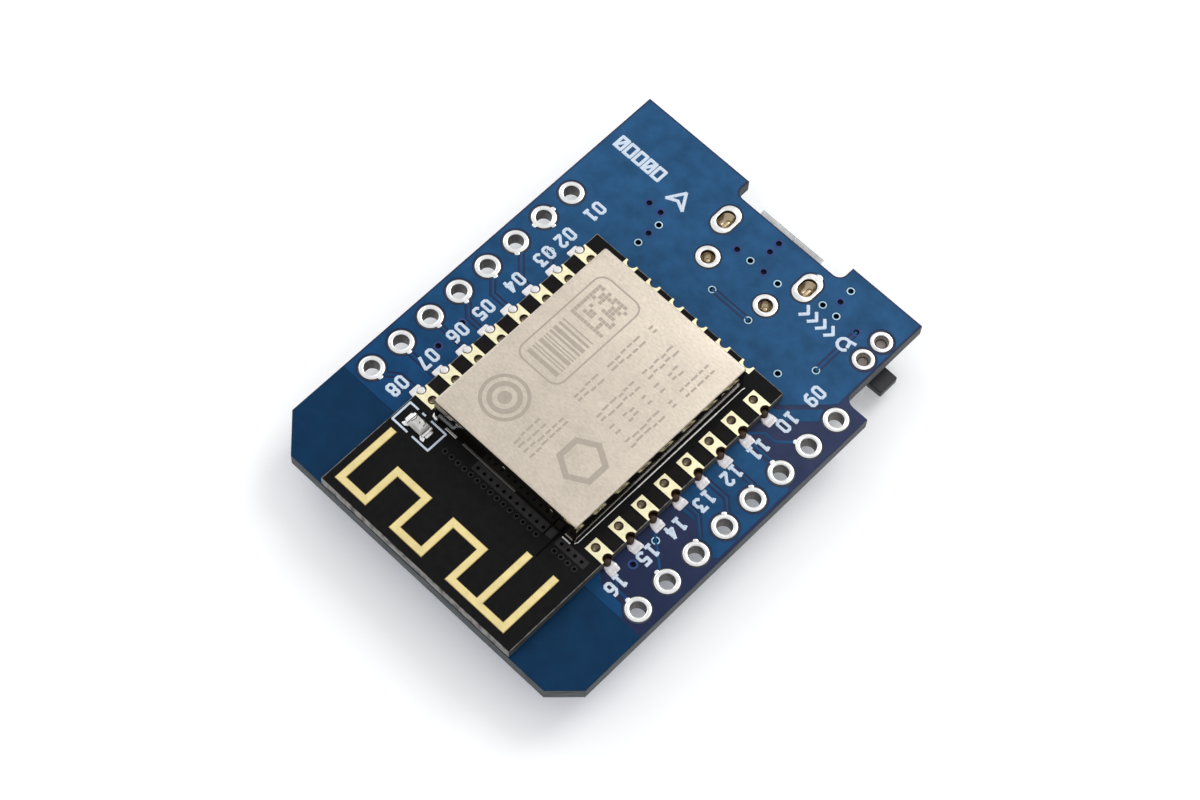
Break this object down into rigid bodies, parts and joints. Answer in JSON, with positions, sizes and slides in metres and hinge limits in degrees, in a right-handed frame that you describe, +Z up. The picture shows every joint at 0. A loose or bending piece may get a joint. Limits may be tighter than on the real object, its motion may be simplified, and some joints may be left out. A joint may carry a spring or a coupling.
{
  "type": "microcontroller dev board",
  "caption": "Small Wi-Fi microcontroller board: shielded radio module on a blue board with two rows of plated pin holes, a USB socket and a side reset button below.",
  "frame": {"origin": "under the middle of the board's outline, at the height of the lowest point of the USB socket's flared mouth, which is the plane that the level board stands on", "axes": "+Y towards the USB socket, along the board's length; +X towards the long edge with the reset button; +Z up, out of the face that carries the radio module"},
  "size_m": [0.0256, 0.0342, 0.0069],
  "materials": {
    "blue_laminate": "blue solder mask over copper on glass-fibre laminate, semi-gloss, with darker bare-laminate areas",
    "black_laminate": "black solder mask on thin glass-fibre laminate, satin, with pale raw edges",
    "tinned": "hot-tinned copper, bright and slightly uneven",
    "can_steel": "drawn nickel-silver sheet, satin, with faint etched marks",
    "gold": "immersion gold on copper, satin",
    "bright_steel": "nickel-plated sheet steel, bright",
    "spring_steel": "thin stainless spring strip",
    "chip_black": "black moulding compound, matte, with tinned leads",
    "switch_black": "black glass-filled nylon, satin",
    "plunger_black": "black acetal, satin",
    "led_lens": "clear resin over a white base, with tinned ends",
    "capacitor_ceramic": "tan ceramic with tinned ends",
    "resistor_ceramic": "black glazed film on ceramic with tinned ends",
    "fuse_green": "green laminate chip with tinned ends"
  },
  "bodies": {
    "board": {"main_pcb": "blue_laminate", "module_pcb": "black_laminate", "header_eyelet_01": "tinned", "header_eyelet_02": "tinned", "header_eyelet_03": "tinned", "header_eyelet_04": "tinned", "header_eyelet_05": "tinned", "header_eyelet_06": "tinned", "header_eyelet_07": "tinned", "header_eyelet_08": "tinned", "header_eyelet_09": "tinned", "header_eyelet_10": "tinned", "header_eyelet_11": "tinned", "header_eyelet_12": "tinned", "header_eyelet_13": "tinned", "header_eyelet_14": "tinned", "header_eyelet_15": "tinned", "header_eyelet_16": "tinned", "switch_terminal_1": "tinned", "switch_terminal_2": "tinned", "shield_can": "can_steel", "antenna_trace": "gold", "usb_contact_1": "gold", "usb_contact_2": "gold", "usb_contact_3": "gold", "usb_contact_4": "gold", "usb_contact_5": "gold", "usb_shell": "bright_steel", "switch_cover": "bright_steel", "module_crystal": "bright_steel", "serial_crystal": "bright_steel", "snap_spring": "spring_steel", "wifi_chip": "chip_black", "flash_chip": "chip_black", "usb_serial_chip": "chip_black", "regulator": "chip_black", "transistor_1": "chip_black", "transistor_2": "chip_black", "diode": "chip_black", "usb_housing": "switch_black", "switch_base": "switch_black", "module_led": "led_lens", "capacitor_1": "capacitor_ceramic", "capacitor_2": "capacitor_ceramic", "capacitor_3": "capacitor_ceramic", "capacitor_4": "capacitor_ceramic", "capacitor_5": "capacitor_ceramic", "module_capacitor_1": "capacitor_ceramic", "module_capacitor_2": "capacitor_ceramic", "module_capacitor_3": "capacitor_ceramic", "module_capacitor_4": "capacitor_ceramic", "resistor_1": "resistor_ceramic", "resistor_2": "resistor_ceramic", "resistor_3": "resistor_ceramic", "resistor_4": "resistor_ceramic", "resistor_5": "resistor_ceramic", "polyfuse": "fuse_green"},
    "reset_button": {"reset_plunger": "plunger_black"}
  },
  "joints": [
    {"name": "reset_press", "type": "slide", "parent": "board", "child": "reset_button", "axis": [-1, 0, 0], "range_m": [0, 0.00025], "stiffness_N_per_m": 1000, "deforming": ["snap_spring"]}
  ]
}
